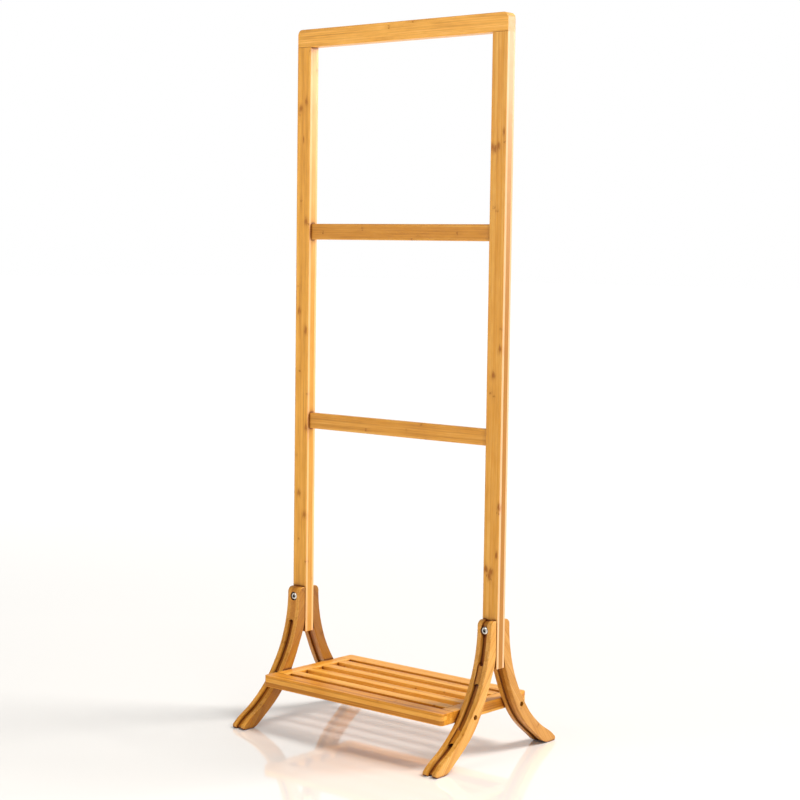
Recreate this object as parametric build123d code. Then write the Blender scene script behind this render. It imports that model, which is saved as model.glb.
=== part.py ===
from build123d import *
import os

os.makedirs("parts", exist_ok=True)

# Free-standing towel rack. Millimetres, +Z up, front is -Y.
# Origin: on the floor, at the centre of the footprint.

SIDES = {"left": -1, "right": 1}
FACES = {"front": -1, "back": 1}

# uprights and top rail
WIDTH = 400.0
TOP_Z = 1053.5
POST_W = 27.0
POST_D = 18.0
POST_FOOT_Z = 131.0
POST_X = WIDTH / 2 - POST_W / 2
RAIL_H = 27.0
RAIL_Z = TOP_Z - RAIL_H
RAIL_CORNER = 8.5
EASE = 1.2
END_EASE = 0.9

# clearances: around a tenon or a dowel, and at the bottom of a blind joint
FIT_GAP = 0.05
END_GAP = 0.5

# rungs between the uprights
RUNG_L = 2 * POST_X - POST_W
RUNG_H = 24.0
RUNG_T = 9.0
RUNG_EASE = 1.4
RUNG_HEIGHTS = {"middle": 749.0, "lower": 460.0}
TENON_L = 14.0
TENON_H = 18.0
TENON_T = 7.0

# dowels between the top rail and the uprights
DOWEL_R = 3.0
DOWEL_L = 24.0
DOWEL_EASE = 0.8
DOWEL_X = 6.5

# curved feet: two cheeks with a grooved core between them, each profile given as
# (distance from the rack's mid plane, height)
CHEEK_T = 7.5
CHEEK_EASE = 1.1
CORE_T = 10.0
FOOT_W = 2 * CHEEK_T + CORE_T
FOOT_TOP = 201.0
CROWN_R = 8.4
TOE_R = 3.4
OUTER_CURVE = [
    (21.7, FOOT_TOP - CROWN_R), (26.9, 148.0), (42.5, 104.0), (55.5, 82.0), (72.5, 58.5),
    (92.6, 39.0), (113.5, 24.0), (130.5, 13.7), (138.0, 7.6), (139.8, TOE_R),
]
INNER_CURVE = [
    (POST_D / 2, 152.0), (16.0, 125.0), (36.5, 79.5), (65.5, 39.5), (104.0, 8.6), (119.5, 0.0),
]

# routed grooves in the cores: how far a cut sets the edge back, and the heights it covers
SHALLOW = (-1.8, -1.6)
CROWN = (-3.4, -1.4)
TOE = (-3.2, -3.0)
MEDIUM = (-6.0, 0.0)
DEEP = (-6.5, -3.0)
BACK = (2.4, 1.8)
GROOVE_W = 10.4
BELOW_FLOOR = -20.0
ABOVE_FOOT = FOOT_TOP + 20.0
GROOVES = {
    "left": [
        (BACK, BELOW_FLOOR, POST_FOOT_Z - 1),
        (TOE, BELOW_FLOOR, 60.0), (MEDIUM, 32.0, 151.0),
    ],
    "right": [
        (BACK, BELOW_FLOOR, POST_FOOT_Z - 1), (SHALLOW, BELOW_FLOOR, ABOVE_FOOT),
        (DEEP, BELOW_FLOOR, 38.0), (MEDIUM, 53.0, 113.0), (DEEP, 137.0, 182.0),
        (CROWN, 175.0, ABOVE_FOOT),
    ],
}

# bolt through both feet and the upright, with its sleeve nut at the back
BOLT_Z = 187.0
BOLT_R = 3.0
BOLT_TIP = 8.0
BOLT_SEAT = 18.2
BOLT_POCKET_R = 6.7
HEAD_R = 6.0
HEAD_T = 3.0
HEAD_DOME = 2.2
SOCKET_R = 2.9
SOCKET_DEPTH = 2.4
SLEEVE_R = 4.3
SLEEVE_TIP = -4.0
BORE_GAP = 0.2
FOOT_REACH = 150.0

# shelf
SHELF_L = 2 * POST_X - FOOT_W
SHELF_D = 197.0
SHELF_TOP = 78.0
SHELF_T = 17.0
SHELF_MID_Z = SHELF_TOP - SHELF_T / 2
SHELF_CORNER = 5.0
SHELF_EASE = 1.0
LONG_RAIL_W = 26.5
END_RAIL_W = 22.0
END_RAIL_X = SHELF_L / 2 - END_RAIL_W / 2
END_TENON = (16.0, 14.0, 8.0)
SLAT_W = 18.0
SLAT_T = 10.0
SLAT_EASE = 0.9
SLAT_L = SHELF_L - 2 * END_RAIL_W
SLAT_PITCH = 35.3
SLAT_LINES = [place * SLAT_PITCH for place in (-1.5, -0.5, 0.5, 1.5)]
SLAT_TENON = (6.0, 14.0, 6.0)
SLAT_Z = SHELF_TOP - SLAT_T / 2

# screws through the feet into the shelf
SCREW_Y = 54.3
SCREW_Z = 70.0
SCREW_SEAT = POST_X + 1.0
SCREW_POCKET_R = 3.9
SCREW_HEAD_R = 3.5
SCREW_HEAD_T = 3.0
SCREW_DOME = 0.8
SCREW_SOCKET_R = 1.6
SCREW_R = 2.0
SCREW_TIP = SHELF_L / 2 - 13.0


def bar(lx, ly, lz, axis, ease):
    body = Box(lx, ly, lz)
    return fillet(body.edges().filter_by(axis), ease)


def rod_x(radius, x0, x1):
    rod = Rot(0, 90, 0) * Cylinder(radius, abs(x1 - x0))
    return Pos((x0 + x1) / 2, 0, 0) * rod


def rod_y(radius, y0, y1):
    rod = Rot(90, 0, 0) * Cylinder(radius, abs(y1 - y0))
    return Pos(0, (y0 + y1) / 2, 0) * rod


def dowel_spots():
    centres = [side * POST_X + dx for side in SIDES.values() for dx in (-DOWEL_X, DOWEL_X)]
    return [Pos(x, 0, RAIL_Z) for x in centres]


def dowel_bores():
    bore = Cylinder(DOWEL_R + FIT_GAP, DOWEL_L + 2 * END_GAP)
    return [spot * bore for spot in dowel_spots()]


def rail_dowels():
    pin = Cylinder(DOWEL_R, DOWEL_L)
    pin = chamfer(pin.edges(), DOWEL_EASE)
    return Compound(children=[spot * pin for spot in dowel_spots()])


def top_rail():
    rail = Box(WIDTH, POST_D, RAIL_H)
    corners = rail.edges().filter_by(Axis.Y).group_by(Axis.Z)[-1]
    rail = fillet(corners, RAIL_CORNER)
    rail = fillet(rail.faces().filter_by(Axis.Y).edges(), EASE)
    return Pos(0, 0, RAIL_Z + RAIL_H / 2) * rail - dowel_bores()


def upright(side):
    height = RAIL_Z - POST_FOOT_Z
    post = bar(POST_W, POST_D, height, Axis.Z, EASE)
    post = fillet(post.faces().sort_by(Axis.Z)[0].edges(), END_EASE)
    post = Pos(side * POST_X, 0, POST_FOOT_Z + height / 2) * post
    for z in RUNG_HEIGHTS.values():
        mortise = Box(2 * (TENON_L + END_GAP), TENON_T + 2 * FIT_GAP, TENON_H + 2 * FIT_GAP)
        post -= Pos(side * RUNG_L / 2, 0, z) * mortise
    post -= Pos(side * POST_X, 0, BOLT_Z) * rod_y(SLEEVE_R + BORE_GAP, -POST_D, POST_D)
    return post - dowel_bores()


def rung(z):
    body = bar(RUNG_L, RUNG_T, RUNG_H, Axis.X, RUNG_EASE)
    body += Box(RUNG_L + 2 * TENON_L, TENON_T, TENON_H)
    return Pos(0, 0, z) * body


def foot_outline():
    back = (POST_D / 2, FOOT_TOP)
    shoulder = (OUTER_CURVE[0][0] - CROWN_R, FOOT_TOP)
    tip = (OUTER_CURVE[-1][0] - TOE_R, 0)
    return make_face([
        Line(INNER_CURVE[0], back),
        Line(back, shoulder),
        TangentArc(shoulder, OUTER_CURVE[0], tangent=(1, 0)),
        Spline(*OUTER_CURVE, tangents=((0, -1), (0, -1))),
        TangentArc(OUTER_CURVE[-1], tip, tangent=(0, -1)),
        Line(tip, INNER_CURVE[-1]),
        Spline(*INNER_CURVE, tangents=((0.02, -1), (1, -0.3))),
    ])


def stand_up(outline, thickness, x_mid, face):
    plate = Plane.YZ * extrude(outline, amount=thickness / 2, both=True)
    if face < 0:
        plate = mirror(plate, Plane.XZ)
    return Pos(x_mid, 0, 0) * plate


def bolt_cut(side, face):
    shank_r = BOLT_R if face < 0 else SLEEVE_R
    tunnel = rod_y(shank_r + BORE_GAP, 0, face * FOOT_REACH)
    pocket = rod_y(BOLT_POCKET_R, face * BOLT_SEAT, face * FOOT_REACH)
    return Pos(side * POST_X, 0, BOLT_Z) * (tunnel + pocket)


def screw_cut(side, face):
    tunnel = rod_x(SCREW_R + BORE_GAP, side * (SCREW_TIP - END_GAP), side * WIDTH / 2)
    pocket = rod_x(SCREW_POCKET_R, side * SCREW_SEAT, side * WIDTH / 2)
    return Pos(0, face * SCREW_Y, SCREW_Z) * (tunnel + pocket)


def cheek(side, face, outward):
    x_mid = side * (POST_X + outward * (CORE_T + CHEEK_T) / 2)
    body = stand_up(foot_outline(), CHEEK_T, x_mid, face)
    flanks = body.faces().filter_by(Axis.X).sort_by(Axis.X)
    exposed = flanks[-1] if side * outward > 0 else flanks[0]
    body = fillet(exposed.edges(), CHEEK_EASE)
    return body - bolt_cut(side, face) - screw_cut(side, face)


def groove(side, face, setback, z0, z1):
    outline = foot_outline()
    band = outline - Pos(*setback) * outline
    band = stand_up(band, GROOVE_W, side * POST_X, face)
    slot = SlotOverall(z1 - z0, GROOVE_W, rotation=90)
    slot = Plane.XZ * extrude(slot, amount=FOOT_REACH, both=True)
    return band & Pos(side * POST_X, 0, (z0 + z1) / 2) * slot


def core(side_name, face):
    side = SIDES[side_name]
    body = stand_up(foot_outline(), CORE_T, side * POST_X, face)
    for setback, z0, z1 in GROOVES[side_name]:
        body -= groove(side, face, setback, z0, z1)
    return body - bolt_cut(side, face) - screw_cut(side, face)


def fastener_head(radius, thickness, dome, socket_r):
    head = Cylinder(radius, thickness, align=(Align.CENTER, Align.CENTER, Align.MIN))
    head = fillet(head.edges().sort_by(Axis.Z)[-1], dome)
    socket = Pos(0, 0, thickness) * extrude(RegularPolygon(socket_r, 6), amount=-SOCKET_DEPTH)
    return head - socket


def foot_bolts():
    head = Rot(90, 0, 0) * fastener_head(HEAD_R, HEAD_T, HEAD_DOME, SOCKET_R)
    bolt = rod_y(BOLT_R, -BOLT_SEAT, BOLT_TIP) + Pos(0, -BOLT_SEAT, 0) * head
    return Compound(children=[Pos(side * POST_X, 0, BOLT_Z) * bolt for side in SIDES.values()])


def foot_sleeve_nuts():
    head = Rot(-90, 0, 0) * fastener_head(HEAD_R, HEAD_T, HEAD_DOME, SOCKET_R)
    nut = rod_y(SLEEVE_R, SLEEVE_TIP, BOLT_SEAT) + Pos(0, BOLT_SEAT, 0) * head
    nut -= rod_y(BOLT_R + FIT_GAP, SLEEVE_TIP - 1, BOLT_TIP + 2)
    return Compound(children=[Pos(side * POST_X, 0, BOLT_Z) * nut for side in SIDES.values()])


def shelf_screws():
    screws = []
    for side in SIDES.values():
        head = fastener_head(SCREW_HEAD_R, SCREW_HEAD_T, SCREW_DOME, SCREW_SOCKET_R)
        screw = Pos(side * SCREW_SEAT, 0, 0) * Rot(0, side * 90, 0) * head
        screw += rod_x(SCREW_R, side * SCREW_TIP, side * SCREW_SEAT)
        screws += [Pos(0, face * SCREW_Y, SCREW_Z) * screw for face in FACES.values()]
    return Compound(children=screws)


def shelf_long_rail(face):
    rail = Box(SHELF_L, LONG_RAIL_W, SHELF_T)
    ends = rail.edges().filter_by(Axis.Z).group_by(Axis.Y)[-1 if face > 0 else 0]
    rail = fillet(ends, SHELF_CORNER)
    rail = fillet(rail.faces().filter_by(Axis.Z).edges(), SHELF_EASE)
    rail = Pos(0, face * (SHELF_D - LONG_RAIL_W) / 2, SHELF_MID_Z) * rail
    width, length, height = END_TENON
    mortise = Box(width + 2 * FIT_GAP, 2 * (length + END_GAP), height + 2 * FIT_GAP)
    for side in SIDES.values():
        rail -= Pos(side * END_RAIL_X, face * (SHELF_D / 2 - LONG_RAIL_W), SHELF_MID_Z) * mortise
    return rail


def shelf_end_rail(side):
    span = SHELF_D - 2 * LONG_RAIL_W
    rail = bar(END_RAIL_W, span, SHELF_T, Axis.Y, SHELF_EASE)
    rail += Box(END_TENON[0], span + 2 * END_TENON[1], END_TENON[2])
    rail = Pos(side * END_RAIL_X, 0, SHELF_MID_Z) * rail
    length, width, height = SLAT_TENON
    mortise = Box(2 * (length + END_GAP), width + 2 * FIT_GAP, height + 2 * FIT_GAP)
    for y in SLAT_LINES:
        rail -= Pos(side * SLAT_L / 2, y, SLAT_Z) * mortise
    for face in FACES.values():
        rail -= screw_cut(side, face)
    return rail


def shelf_slat(y):
    length, width, height = SLAT_TENON
    slat = bar(SLAT_L, SLAT_W, SLAT_T, Axis.X, SLAT_EASE)
    slat += Box(SLAT_L + 2 * length, width, height)
    return Pos(0, y, SLAT_Z) * slat


pieces = {
    "top_rail": top_rail(),
    "rail_dowels": rail_dowels(),
    "foot_bolts": foot_bolts(),
    "foot_sleeve_nuts": foot_sleeve_nuts(),
    "shelf_screws": shelf_screws(),
}
for name, z in RUNG_HEIGHTS.items():
    pieces[f"{name}_rung"] = rung(z)
for side_name, side in SIDES.items():
    pieces[f"upright_{side_name}"] = upright(side)
    pieces[f"shelf_end_rail_{side_name}"] = shelf_end_rail(side)
    for face_name, face in FACES.items():
        stem = f"foot_{face_name}_{side_name}"
        pieces[f"{stem}_outer_cheek"] = cheek(side, face, 1)
        pieces[f"{stem}_inner_cheek"] = cheek(side, face, -1)
        pieces[f"{stem}_core"] = core(side_name, face)
for face_name, face in FACES.items():
    pieces[f"shelf_{face_name}_rail"] = shelf_long_rail(face)
for number, y in enumerate(SLAT_LINES, start=1):
    pieces[f"shelf_slat_{number}"] = shelf_slat(y)

for name, shape in pieces.items():
    export_step(shape, f"parts/{name}.step")
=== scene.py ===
import math

import bpy
from mathutils import Matrix, Vector

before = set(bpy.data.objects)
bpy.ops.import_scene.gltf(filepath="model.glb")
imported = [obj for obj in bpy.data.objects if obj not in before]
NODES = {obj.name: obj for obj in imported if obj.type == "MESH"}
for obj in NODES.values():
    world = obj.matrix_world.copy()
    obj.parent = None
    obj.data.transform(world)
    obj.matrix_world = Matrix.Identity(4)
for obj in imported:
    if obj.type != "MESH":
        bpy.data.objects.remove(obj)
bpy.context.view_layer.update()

MM = 0.001

# linear colours of lacquered bamboo, from the palest strip to the darkest
PALE = (0.88, 0.50, 0.115)
MIDDLE = (0.76, 0.35, 0.040)
DEEP = (0.47, 0.185, 0.016)
KNUCKLE = (0.38, 0.12, 0.001)

# the layers that show on the sides of the uprights, partly their own tone and partly painted sheen, and
# the end grain of the top rail
CREAM = (0.93, 0.59, 0.35)
HEART = (0.37, 0.145, 0.007)
HEART_HALF = 4.5                # half the thickness of the heart layer, mm
PAINTED_SHEEN_FADE = (560.0, 1060.0)    # the heights between which the heart layer grows paler as painted sheen, mm
PAINTED_SHEEN_PALEST = 0.65             # how far it turns cream at the top, as painted sheen
END_TONE = (0.47, 0.26, 0.085)

# painted shade in hollows, grooves and seams, where shade falls: its reach in mm, and how open a place is
# where it is full and where it ends
PAINTED_NOOK_SHADE = (20.0, 0.4, 0.88)
PAINTED_CHEEK_SHADE = (7.0, 0.4, 0.88)
PAINTED_CORE_SHADE = (12.0, 0.4, 0.97)
PAINTED_SEAM_SHADE = (5.0, 0.42, 0.90)
PAINTED_SOCKET_HOLLOW = (6.0, 0.15, 0.75)
PAINTED_NOOK_SHADE_TINT = (0.50, 0.31, 0.10)
PAINTED_SEAM_SHADE_TINT = (0.26, 0.15, 0.07)

# fibres, as waves per mm along the grain and across it
STREAKS = (0.004, 0.5)
THREADS = (0.012, 1.3)
BUNDLES = (0.055, 3.1)
CLOUDS = (0.02, 0.05)
FIBRE_SHIFT = 90.0              # how far apart two strips can lie in that noise
WOOD_RELIEF = 0.12 * MM         # height of the grain's relief

# knuckles, in mm
KNUCKLE_PITCH = 260.0           # one knuckle to this length of strip
KNUCKLE_SHIFT = 5.0             # how far apart two strips' knuckles can start, in pitches
KNUCKLE_WOBBLE = 9.0            # how far a ring wanders along the strip
MARK_HALF_HEIGHT = 7.0          # of a knuckle at a listed place

# how squarely a face looks along an axis, from not at all to fully
SIDE_ON = (0.6, 0.95)
END_ON = (0.8, 0.97)

# inputs of the wood's two node groups
GRAIN_PLACE = ("Along", "Across", "Deep")
STRIP_INPUTS = (*GRAIN_PLACE, "Seed", "Strip", "Layer", "Variety")
MARK_INPUTS = (*GRAIN_PLACE, "At Along", "At Across", "Half Width")

# grains: the directions along, across and through the strips
UPRIGHT_GRAIN = ((0, 0, 1), (1, 0, 0), (0, 1, 0))
RAIL_GRAIN = ((1, 0, 0), (0, 0, 1), (0, 1, 0))
END_GRAIN = ((0, 1, 0), (0, 0, 1), (1, 0, 0))
SLAT_GRAIN = ((1, 0, 0), (0, 1, 0), (0, 0, 1))
FOOT_LEAN = math.radians(37.5)      # how far the grain of a foot leans out from upright

# knuckles of the uprights: height, place across from the mid plane, half width, in mm
LEFT_MARKS = [
    (936, -192, 5.0), (946, -181, 4.0), (889, -186, 2.0), (765, -180, 4.4), (629, -192, 4.4),
    (599, -178, 4.2), (450, -176, 3.6), (348, -190, 5.0), (315, -178, 4.8),
]
RIGHT_MARKS = [
    (868, 176.5, 3.6), (866, 181.5, 3.8), (869, 187.0, 3.6), (890, 196, 2.6), (587, 196, 4.0),
    (550, 185, 4.6), (364, 198, 3.0), (295, 196, 2.6), (274, 177.5, 4.6), (271, 187, 5.0),
    (264, 184, 3.6),
]

# each piece's colour, as a factor on the plain bamboo; some factors are painted shade
LEFT_TINT = (1.0, 0.99, 0.99)
# painted shade: the right upright darker, for the shade that falls on it
PAINTED_RIGHT_SHADE = (0.84, 0.78, 0.70)
TOP_TINT = (1.10, 1.16, 1.7)
# painted shade: the rungs darker, for the shade that falls on them
PAINTED_MIDDLE_RUNG_SHADE = (0.79, 0.71, 0.62)
PAINTED_LOWER_RUNG_SHADE = (0.86, 0.80, 0.74)
SHELF_TINT = (0.94, 0.82, 0.62)
SLAT_TINT = (0.97, 0.88, 0.72)
CHEEK_TINT = (0.90, 0.87, 1.0)
# partly the core's own darker tone, partly painted shade of the groove it lies in
CORE_TONE_AND_SHADE = (0.72, 0.60, 0.40)
PAINTED_INNER_SHADE = (0.60, 0.53, 0.24)    # painted shade on the flat faces of the left feet's inner cheeks, where the shelf shades them
DOWEL_TINT = (1.0, 1.15, 1.6)
# painted shade: each foot darker by how much shade falls on it, most on the left and at the back
PAINTED_FOOT_SHADE = {
    ("front", "left"): (0.97, 0.93, 0.80),
    ("back", "left"): (0.78, 0.72, 0.42),
    ("front", "right"): (0.93, 0.93, 0.98),
    ("back", "right"): (0.78, 0.75, 0.74),
}
SHELF_COAT = 0.12               # the shelf is less glossy than the frame

# metals: colour, roughness, metallic, and brush marks as waves per mm along X, Y and Z
ZINC = ((0.78, 0.74, 0.68), 0.10, 1.0, (6.0, 0.3, 6.0))
BLACK_OXIDE = ((0.035, 0.032, 0.03), 0.34, 0.85, (0.4, 5.0, 5.0))
STEEL_RELIEF = 0.03 * MM        # height of the brush marks
WORN = 0.7                      # brush marks, as a factor on the colour
PAINTED_SOCKET_SHADE = 0.12             # painted shade inside a socket, in the same way

# studio floor
FLOOR_REACH = 30.0              # metres each way
FLOOR_COLOUR = (1.0, 0.96, 0.90, 1.0)

# the white world's strength: even in a low band, then falling from the sweep to the ceiling, and
# weaker on one side; bands are ranges of the sine of the height, or of the way across
HORIZON = 1.05
LOW_BAND = (0.06, 0.2)
SWEEP = 1.15
CEILING = 0.42
SWEEP_BAND = (0.06, 0.34)
BRIGHT_WAY = (0.65, 0.76, 0.0)
SIDE_BAND = (-0.9, 0.1)
DIM_SIDE = 0.4
BRIGHT_SIDE = 0.95

# lamps: directions and places in metres, sizes in metres, power in watts, spread in degrees
KEY_WAY = (0.36, 0.38, 0.85)
KEY_STRENGTH = 2.85
KEY_SPREAD = 20.0
SOFTBOXES = [
    # name, place, target, width, height, power
    ("sheen_back_right", (1.85, 2.2, 1.7), (0.0, 0.0, 0.9), 1.0, 1.2, 38.0),
    ("front_fill", (-0.5, -2.9, 1.6), (0.0, 0.0, 0.8), 1.4, 1.4, 25.0),
    ("right_fill", (2.7, -1.5, 0.9), (0.0, 0.0, 0.4), 1.0, 1.4, 30.0),
]

# camera: in front and to the right, almost level, and turned left towards the rack; lens in mm
CAMERA_PLACE = Vector((1.7602, -2.0614, 0.7263))
YAW = math.radians(40.402)
PITCH = math.radians(4.725)
ROLL = math.radians(0.770)
SENSOR_WIDTH = 36.0
FOCAL_LENGTH = 82.87


class Graph:
    """Short calls for building one node tree."""

    def __init__(self, tree):
        self.tree = tree

    def node(self, kind, **settings):
        made = self.tree.nodes.new(kind)
        for name, value in settings.items():
            setattr(made, name, value)
        return made

    def put(self, socket, value):
        if isinstance(value, bpy.types.NodeSocket):
            self.tree.links.new(value, socket)
        else:
            socket.default_value = value

    def math(self, operation, *values):
        made = self.node("ShaderNodeMath", operation=operation)
        for socket, value in zip(made.inputs, values):
            self.put(socket, value)
        return made.outputs[0]

    def add(self, first, second):
        return self.math("ADD", first, second)

    def subtract(self, first, second):
        return self.math("SUBTRACT", first, second)

    def times(self, first, second):
        return self.math("MULTIPLY", first, second)

    def divide(self, first, second):
        return self.math("DIVIDE", first, second)

    def times_add(self, value, factor, added):
        return self.math("MULTIPLY_ADD", value, factor, added)

    def from_middle(self, value):
        return self.subtract(value, 0.5)

    def absolute(self, value):
        return self.math("ABSOLUTE", value)

    def dot(self, vector, axis):
        made = self.node("ShaderNodeVectorMath", operation="DOT_PRODUCT")
        self.put(made.inputs[0], vector)
        self.put(made.inputs[1], axis)
        return made.outputs["Value"]

    def length(self, vector):
        made = self.node("ShaderNodeVectorMath", operation="LENGTH")
        self.put(made.inputs[0], vector)
        return made.outputs["Value"]

    def xyz(self, x, y, z):
        made = self.node("ShaderNodeCombineXYZ")
        for socket, value in zip(made.inputs, (x, y, z)):
            self.put(socket, value)
        return made.outputs[0]

    def ramp(self, value, low, high, start=0.0, end=1.0):
        made = self.node("ShaderNodeMapRange", interpolation_type="SMOOTHSTEP")
        for name, given in zip(
            ("Value", "From Min", "From Max", "To Min", "To Max"),
            (value, low, high, start, end),
        ):
            self.put(made.inputs[name], given)
        return made.outputs["Result"]

    def fall(self, value, low, high):
        return self.ramp(value, low, high, 1.0, 0.0)

    def noise(self, vector, detail=2.0, roughness=0.55):
        made = self.node("ShaderNodeTexNoise")
        self.put(made.inputs["Vector"], vector)
        self.put(made.inputs["Scale"], 1.0)
        self.put(made.inputs["Detail"], detail)
        self.put(made.inputs["Roughness"], roughness)
        return made.outputs["Fac"]

    def white_noise(self, vector, dimensions):
        made = self.node("ShaderNodeTexWhiteNoise", noise_dimensions=dimensions)
        self.put(made.inputs["Vector"], vector)
        return made.outputs

    def mix(self, factor, first, second, blend="MIX"):
        made = self.node("ShaderNodeMix", data_type="RGBA", blend_type=blend)
        self.put(made.inputs["Factor"], factor)
        for name, colour in (("A", first), ("B", second)):
            socket = [s for s in made.inputs if s.name == name and s.type == "RGBA"][0]
            self.put(socket, colour if isinstance(colour, bpy.types.NodeSocket) else (*colour, 1.0))
        return [s for s in made.outputs if s.type == "RGBA"][0]

    def tinted(self, colour, tint):
        return self.mix(1.0, colour, tint, "MULTIPLY")

    def group(self, tree, labels, values):
        made = self.node("ShaderNodeGroup", node_tree=tree)
        for label, value in zip(labels, values):
            self.put(made.inputs[label], value)
        return made.outputs


def new_group(name, inputs, outputs):
    tree = bpy.data.node_groups.new(name, "ShaderNodeTree")
    for label in inputs:
        tree.interface.new_socket(label, in_out="INPUT", socket_type="NodeSocketFloat")
    for label, kind in outputs:
        tree.interface.new_socket(label, in_out="OUTPUT", socket_type=kind)
    graph = Graph(tree)
    entry = graph.node("NodeGroupInput")
    leave = graph.node("NodeGroupOutput")
    return graph, entry.outputs, leave.inputs


# wood
def strip_cell(g, place, seed, width, thickness):
    """Staggered strips: the place across, counted in strips, and the random numbers of the strip there."""
    _, across, deep = place
    layer = g.math("FLOOR", g.add(g.divide(deep, thickness), 0.5))
    shift = g.white_noise(g.xyz(layer, seed, 0.0), "2D")["Value"]
    position = g.add(g.divide(across, width), shift)
    cell = g.white_noise(g.xyz(layer, g.math("FLOOR", position), seed), "3D")
    chance = g.node("ShaderNodeSeparateColor")
    g.put(chance.inputs[0], cell["Color"])
    return position, cell["Value"], chance.outputs


def fibres(g, place, offset, waves, detail, roughness=0.55):
    """Noise drawn out along the grain."""
    along, across, deep = place
    lengthwise, crosswise = waves
    return g.noise(g.xyz(
        g.times_add(along, lengthwise, offset),
        g.times(across, crosswise),
        g.times(deep, crosswise),
    ), detail, roughness)


def strip_knuckles(g, place, seed, phase, shown):
    """A ragged ring across some of the strips, each at its own place, and the soft halo about it."""
    along, across, deep = place
    turn = g.math("FRACT", g.add(g.divide(along, KNUCKLE_PITCH), g.times(phase, KNUCKLE_SHIFT)))
    away = g.times(g.from_middle(turn), KNUCKLE_PITCH)
    ragged = g.noise(g.xyz(
        g.times(along, 0.22),
        g.times(across, 0.5),
        g.add(g.times(deep, 0.5), seed),
    ), 3.0, 0.6)
    bent = g.absolute(g.add(away, g.times(g.from_middle(ragged), KNUCKLE_WOBBLE)))
    present = g.ramp(shown, 0.45, 0.6)
    ring = g.times(g.fall(bent, 0.5, 2.6), g.ramp(ragged, 0.40, 0.58))
    halo = g.fall(bent, 2.0, 13.0)
    return g.times(ring, present), g.times(halo, present)


def bamboo_group():
    """Glued strips of bamboo. Along, Across and Deep are millimetres in the piece's own grain frame."""
    g, given, out = new_group(
        "bamboo_strips", STRIP_INPUTS,
        (("Color", "NodeSocketColor"), ("Rough", "NodeSocketFloat"), ("Height", "NodeSocketFloat")),
    )
    place = [given[label] for label in GRAIN_PLACE]
    seed, width = given["Seed"], given["Strip"]
    position, tone, (slide, phase, shown) = strip_cell(g, place, seed, width, given["Layer"])

    offset = g.times(slide, FIBRE_SHIFT)
    streaks = fibres(g, place, offset, STREAKS, 2.0)
    threads = fibres(g, place, offset, THREADS, 3.0, 0.65)
    dashes = g.ramp(fibres(g, place, offset, BUNDLES, 1.0), 0.54, 0.68)
    clouds = fibres(g, place, offset, CLOUDS, 2.0)
    ring, halo = strip_knuckles(g, place, seed, phase, shown)
    glue = g.fall(g.times(g.math("PINGPONG", position, 0.5), width), 0.04, 0.22)

    shade = 0.5
    for layer, weight in ((tone, given["Variety"]), (streaks, 0.65), (threads, 1.25), (clouds, 0.55)):
        shade = g.times_add(g.from_middle(layer), weight, shade)
    colour = g.mix(g.ramp(shade, 0.0, 0.55), DEEP, MIDDLE)
    colour = g.mix(g.ramp(shade, 0.45, 1.0), colour, PALE)
    for mask, strength, stain in (
        (dashes, 0.30, DEEP), (glue, 0.40, DEEP), (halo, 0.18, DEEP), (ring, 0.85, KNUCKLE),
    ):
        colour = g.mix(g.times(mask, strength), colour, stain)
    g.put(out["Color"], colour)

    g.put(out["Rough"], g.times_add(ring, 0.1, g.times_add(threads, 0.22, 0.30)))
    height = threads
    for mask, depth in ((dashes, -0.5), (glue, -0.7), (ring, -0.5)):
        height = g.times_add(mask, depth, height)
    g.put(out["Height"], height)
    return g.tree


def knuckle_group():
    """One knuckle at a given place in the grain frame: a ragged brown patch that fades out with depth."""
    g, given, out = new_group("bamboo_knuckle", MARK_INPUTS, (("Mask", "NodeSocketFloat"),))
    along, across, deep = (given[label] for label in GRAIN_PLACE)
    ragged = g.noise(g.xyz(g.times(along, 0.09), g.times(across, 0.75), deep), 3.0, 0.6)
    aside = g.subtract(across, given["At Across"])
    rise = g.add(g.subtract(along, given["At Along"]), g.times(g.absolute(aside), 0.5))
    reach = g.length(g.xyz(
        g.divide(rise, MARK_HALF_HEIGHT),
        g.divide(aside, given["Half Width"]),
        g.times_add(deep, 0.14, 1.15),
    ))
    core = g.fall(g.times_add(g.from_middle(ragged), 2.4, reach), 0.2, 1.2)
    halo = g.ramp(reach, 0.3, 1.9, 0.30, 0.0)
    g.put(out["Mask"], g.math("MAXIMUM", core, halo))
    return g.tree


BAMBOO = bamboo_group()
KNUCKLES = knuckle_group()


def principled(name, **values):
    material = bpy.data.materials.new(name)
    material.use_nodes = True
    shader = material.node_tree.nodes["Principled BSDF"]
    for label, value in values.items():
        shader.inputs[label.replace("_", " ")].default_value = value
    return material, Graph(material.node_tree), shader


def millimetres(g):
    place = g.node("ShaderNodeTexCoord").outputs["Object"]
    scaled = g.node("ShaderNodeVectorMath", operation="SCALE")
    g.put(scaled.inputs[0], place)
    g.put(scaled.inputs["Scale"], 1.0 / MM)
    return scaled.outputs[0]


def relief(g, shader, height, depth):
    bump = g.node("ShaderNodeBump")
    g.put(bump.inputs["Height"], height)
    g.put(bump.inputs["Distance"], depth)
    g.put(bump.inputs["Strength"], 0.6)
    g.put(shader.inputs["Normal"], bump.outputs["Normal"])
    g.put(shader.inputs["Coat Normal"], bump.outputs["Normal"])


def layered_side(g, colour, deep, height, side_on):
    """Pale outer layers over a dark heart, partly the strips' own tone and partly painted sheen; the heart
    turns cream towards the top as painted sheen.
    """
    outer = g.ramp(g.absolute(deep), HEART_HALF - 0.2, HEART_HALF + 0.2)
    heart = g.mix(g.ramp(height, *PAINTED_SHEEN_FADE, 0.0, PAINTED_SHEEN_PALEST), HEART, CREAM)
    return g.mix(side_on, colour, g.mix(outer, heart, CREAM))


def painted_shade_amount(g, reach, full, clear, samples=8):
    """How much painted shade a place gets for being shut in: 1 where it is no more open than full, and 0
    from clear on.
    """
    around = g.node("ShaderNodeAmbientOcclusion", samples=samples)
    g.put(around.inputs["Distance"], reach * MM)
    return g.fall(around.outputs["AO"], full, clear)


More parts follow.
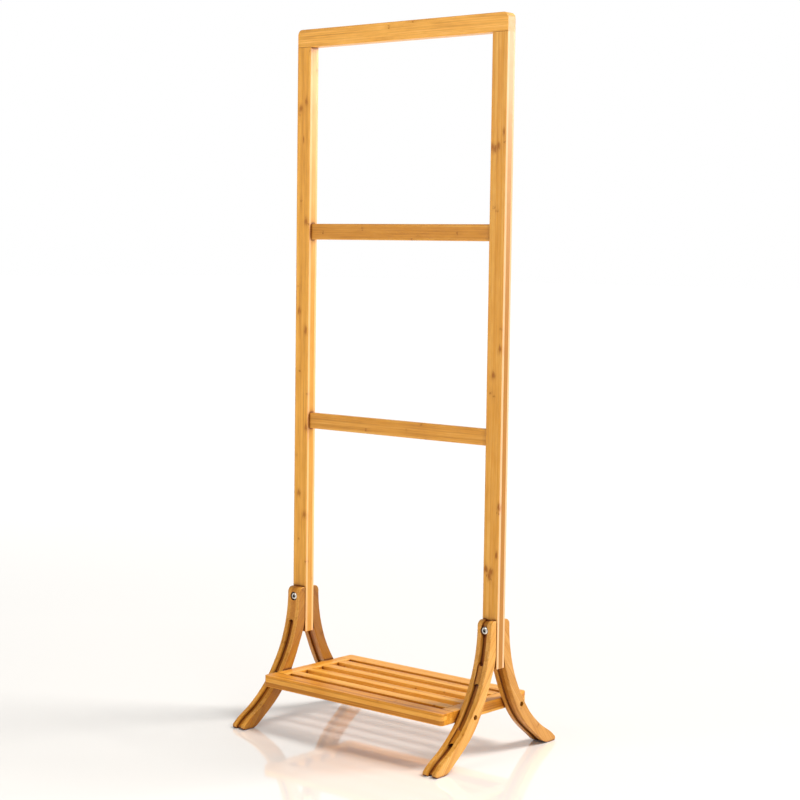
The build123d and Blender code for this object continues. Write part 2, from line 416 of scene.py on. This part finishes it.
def bamboo(name, grain, seed, tint, strip=5.4, layer=6.0, variety=0.45, coat=0.35,
           nook=PAINTED_NOOK_SHADE, flank=0.0, ends=0.0, board=None, marks=()):
    """Lacquered bamboo for one piece.

    grain holds the directions along, across and through the strips; strip and layer are a strip's
    width and thickness in mm, and variety is how much the strips differ. flank says how strongly
    the layers on the sides show, partly their own tone and partly painted sheen; ends says how strongly
    the end grain shows, board is painted shade on the flat faces, and marks are knuckles at listed places.
    """
    material, g, shader = principled(
        "bamboo_" + name, Coat_Weight=coat, Coat_Roughness=0.17, Coat_IOR=1.45, IOR=1.33)
    whole_place = millimetres(g)
    place = [g.dot(whole_place, axis) for axis in grain]
    normal = g.node("ShaderNodeTexCoord").outputs["Normal"]
    along_face, across_face, deep_face = (g.absolute(g.dot(normal, axis)) for axis in grain)
    strips = g.group(BAMBOO, STRIP_INPUTS, (*place, seed, strip, layer, variety))
    colour = strips["Color"]
    # layers on the sides: partly the strips' own tone, partly painted sheen
    if flank:
        along, _, deep = place
        colour = layered_side(g, colour, deep, along, g.ramp(across_face, *SIDE_ON, 0.0, flank))
    # painted shade on the flat faces
    if board:
        colour = g.mix(g.ramp(deep_face, *SIDE_ON), colour, g.tinted(colour, board))
    if ends:
        colour = g.mix(g.ramp(along_face, *END_ON, 0.0, ends), colour, END_TONE)
    for mark in marks:
        spot = g.group(KNUCKLES, MARK_INPUTS, (*place, *mark))
        colour = g.mix(g.times(spot["Mask"], 0.95), colour, KNUCKLE)
    # each piece's tint, which for some pieces is painted shade
    colour = g.tinted(colour, tint)
    # painted shade: darker in hollows, grooves and the seams between parts, where shade falls
    colour = g.mix(painted_shade_amount(g, *nook), colour, g.tinted(colour, PAINTED_NOOK_SHADE_TINT))
    colour = g.mix(painted_shade_amount(g, *PAINTED_SEAM_SHADE, samples=6), colour, g.tinted(colour, PAINTED_SEAM_SHADE_TINT))
    g.put(shader.inputs["Base Color"], colour)
    g.put(shader.inputs["Roughness"], strips["Rough"])
    relief(g, shader, strips["Height"], WOOD_RELIEF)
    return material


# metal
def steel(name, colour, roughness, metallic, waves):
    """Steel with fine brush marks, and painted shade inside its sockets."""
    material, g, shader = principled(name, Metallic=metallic)
    place = millimetres(g)
    stretched = g.node("ShaderNodeVectorMath", operation="MULTIPLY")
    g.put(stretched.inputs[0], place)
    g.put(stretched.inputs[1], waves)
    brushed = g.noise(stretched.outputs[0], 3.0, 0.6)
    worn, dark = (tuple(factor * c for c in colour) for factor in (WORN, PAINTED_SOCKET_SHADE))
    plate = g.mix(g.ramp(brushed, 0.3, 0.7), worn, colour)
    g.put(shader.inputs["Base Color"], g.mix(painted_shade_amount(g, *PAINTED_SOCKET_HOLLOW), plate, dark))
    g.put(shader.inputs["Roughness"], g.times_add(g.noise(place, 4.0, 0.7), 0.2, roughness))
    relief(g, shader, brushed, STEEL_RELIEF)
    return material


def dress(node, material):
    NODES[node].data.materials.clear()
    NODES[node].data.materials.append(material)


def dress_bamboo(node, grain, seed, tint, **looks):
    """Each piece has a seed of its own, so that no two show the same strips."""
    dress(node, bamboo(node, grain, seed, tint, **looks))


def dress_frame():
    dress_bamboo("upright_left", UPRIGHT_GRAIN, 3.0, LEFT_TINT, flank=0.42, marks=LEFT_MARKS)
    dress_bamboo("upright_right", UPRIGHT_GRAIN, 8.0, PAINTED_RIGHT_SHADE, flank=0.78, marks=RIGHT_MARKS)
    dress_bamboo("top_rail", RAIL_GRAIN, 12.0, TOP_TINT, variety=0.3, ends=0.7)
    dress_bamboo("middle_rung", RAIL_GRAIN, 17.0, PAINTED_MIDDLE_RUNG_SHADE)
    dress_bamboo("lower_rung", RAIL_GRAIN, 23.0, PAINTED_LOWER_RUNG_SHADE)


def dress_shelf():
    for name, grain, seed in (
        ("shelf_front_rail", RAIL_GRAIN, 31.0), ("shelf_back_rail", RAIL_GRAIN, 34.0),
        ("shelf_end_rail_left", END_GRAIN, 41.0), ("shelf_end_rail_right", END_GRAIN, 44.0),
    ):
        dress_bamboo(name, grain, seed, SHELF_TINT, strip=5.7, variety=0.8, coat=SHELF_COAT)
    for number in range(1, 5):
        dress_bamboo(f"shelf_slat_{number}", SLAT_GRAIN, 50.0 + 4 * number, SLAT_TINT, coat=SHELF_COAT)


def foot_grain(face):
    sin, cos = math.sin(FOOT_LEAN), math.cos(FOOT_LEAN)
    return ((0, face * sin, -cos), (0, face * cos, sin), (1, 0, 0))


def dress_feet():
    seed = 70.0
    for end, face in (("front", -1), ("back", 1)):
        for side in ("left", "right"):
            # each part's tint and painted hollow shade; the core's tint is partly its own darker tone and
            # partly painted groove shade
            for part, tint, nook in (
                ("outer_cheek", CHEEK_TINT, PAINTED_CHEEK_SHADE),
                ("inner_cheek", CHEEK_TINT, PAINTED_CHEEK_SHADE),
                ("core", CORE_TONE_AND_SHADE, PAINTED_CORE_SHADE),
            ):
                seed += 3.0
                # painted shade: the part's tint darkened where shade falls on that foot
                shade = tuple(a * b for a, b in zip(tint, PAINTED_FOOT_SHADE[end, side]))
                board = PAINTED_INNER_SHADE if (side, part) == ("left", "inner_cheek") else None
                dress_bamboo(f"foot_{end}_{side}_{part}", foot_grain(face), seed, shade, strip=6.0,
                             layer=8.0, variety=0.25, nook=nook, board=board)


def dress_fixings():
    bright = steel("zinc_plate", *ZINC)
    black = steel("black_oxide", *BLACK_OXIDE)
    dress("foot_bolts", bright)
    dress("foot_sleeve_nuts", bright)
    dress("shelf_screws", black)
    dress_bamboo("rail_dowels", UPRIGHT_GRAIN, 5.0, DOWEL_TINT, strip=30.0, layer=30.0)


# studio
def floor():
    reach = FLOOR_REACH
    corners = [(-reach, -reach, 0), (reach, -reach, 0), (reach, reach, 0), (-reach, reach, 0)]
    mesh = bpy.data.meshes.new("studio_floor")
    mesh.from_pydata(corners, [], [(0, 1, 2, 3)])
    made = bpy.data.objects.new("studio_floor", mesh)
    bpy.context.scene.collection.objects.link(made)
    material, _, shader = principled(
        "glossy_white_floor", Roughness=0.06, IOR=1.6, Coat_Weight=1.0, Coat_Roughness=0.03)
    shader.inputs["Base Color"].default_value = FLOOR_COLOUR
    mesh.materials.append(material)


def world_light():
    """A white sweep all round the horizon under a dimmer ceiling; plain white where the camera sees it."""
    world = bpy.data.worlds.new("studio")
    bpy.context.scene.world = world
    world.use_nodes = True
    g = Graph(world.node_tree)
    direction = g.node("ShaderNodeTexCoord").outputs["Generated"]
    height = g.dot(direction, (0.0, 0.0, 1.0))
    side = g.dot(direction, BRIGHT_WAY)
    sweep = g.ramp(height, *SWEEP_BAND, SWEEP, CEILING)
    strength = g.times(sweep, g.ramp(side, *SIDE_BAND, DIM_SIDE, BRIGHT_SIDE))
    above = g.ramp(height, *LOW_BAND)
    strength = g.times_add(g.subtract(strength, HORIZON), above, HORIZON)
    blend = g.node("ShaderNodeMix", data_type="FLOAT")
    g.put(blend.inputs["Factor"], g.node("ShaderNodeLightPath").outputs["Is Camera Ray"])
    g.put(blend.inputs[2], strength)
    g.put(blend.inputs[3], 1.0)
    background = world.node_tree.nodes["Background"]
    g.put(background.inputs["Color"], (1.0, 1.0, 1.0, 1.0))
    g.put(background.inputs["Strength"], blend.outputs[0])


def lamp(name, kind, power):
    light = bpy.data.lights.new(name, kind)
    light.energy = power
    made = bpy.data.objects.new(name, light)
    bpy.context.scene.collection.objects.link(made)
    return made, light


def sun(name, direction, strength, spread):
    made, light = lamp(name, "SUN", strength)
    light.angle = math.radians(spread)
    made.rotation_euler = Vector(direction).to_track_quat("Z", "Y").to_euler()


def softbox(name, place, target, width, height, power):
    made, light = lamp(name, "AREA", power)
    light.shape = "RECTANGLE"
    light.size, light.size_y = width, height
    made.location = place
    aim = Vector(target) - Vector(place)
    made.rotation_euler = aim.to_track_quat("-Z", "Y").to_euler()


def camera():
    forward = Vector((-math.sin(YAW) * math.cos(PITCH), math.cos(YAW) * math.cos(PITCH), -math.sin(PITCH)))
    level = Vector((math.cos(YAW), math.sin(YAW), 0.0))
    upright = level.cross(forward)
    right = math.cos(ROLL) * level + math.sin(ROLL) * upright
    up = math.cos(ROLL) * upright - math.sin(ROLL) * level
    lens = bpy.data.cameras.new("camera")
    lens.sensor_width = SENSOR_WIDTH
    lens.lens = FOCAL_LENGTH
    made = bpy.data.objects.new("camera", lens)
    made.matrix_world = Matrix((
        (right.x, up.x, -forward.x, CAMERA_PLACE.x),
        (right.y, up.y, -forward.y, CAMERA_PLACE.y),
        (right.z, up.z, -forward.z, CAMERA_PLACE.z),
        (0.0, 0.0, 0.0, 1.0),
    ))
    bpy.context.scene.collection.objects.link(made)
    bpy.context.scene.camera = made


dress_frame()
dress_shelf()
dress_feet()
dress_fixings()
floor()
world_light()
sun("soft_key", KEY_WAY, KEY_STRENGTH, KEY_SPREAD)
for settings in SOFTBOXES:
    softbox(*settings)
camera()
bpy.context.scene.view_settings.view_transform = "Standard"
